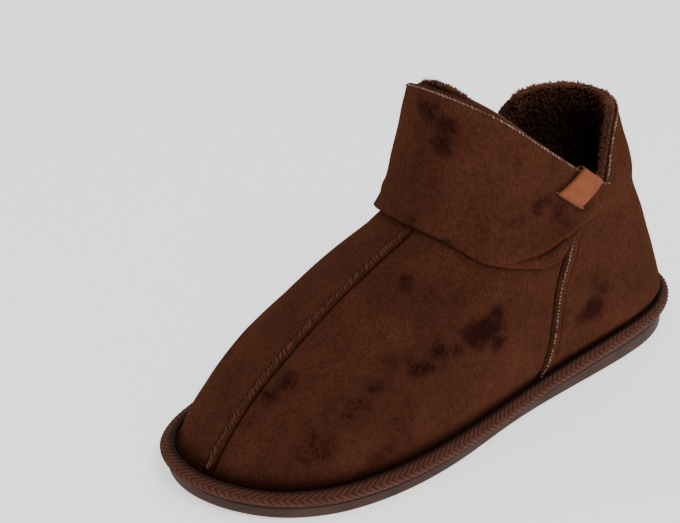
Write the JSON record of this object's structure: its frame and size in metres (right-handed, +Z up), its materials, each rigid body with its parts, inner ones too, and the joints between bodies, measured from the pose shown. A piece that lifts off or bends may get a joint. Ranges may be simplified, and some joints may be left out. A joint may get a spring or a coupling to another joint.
{
  "type": "bootie slipper",
  "caption": "Ankle-high soft bootie slipper, left shoe: flat outsole, rolled tape rand, closed vamp with a raised centre seam, padded cuff and notched collar.",
  "frame": {"origin": "on the floor, under the middle of the shoe's length and width", "axes": "+X towards the toe, +Y towards the outer side of the left shoe, +Z up"},
  "size_m": [0.2918, 0.1152, 0.1545],
  "materials": {
    "rubber": "matt dark brown thermoplastic rubber",
    "tape": "herringbone woven brown tape over a board",
    "fleece": "dark reddish-brown plush pile",
    "suede": "dark chocolate faux suede with a brushed nap",
    "suede_cuff": "dark chocolate faux suede over padding",
    "tan_leather": "smooth tan leather"
  },
  "bodies": {
    "root": {"outsole": "rubber", "platform": "tape", "insole": "fleece", "upper": "suede", "cuff": "suede_cuff", "tag": "tan_leather"}
  },
  "joints": []
}
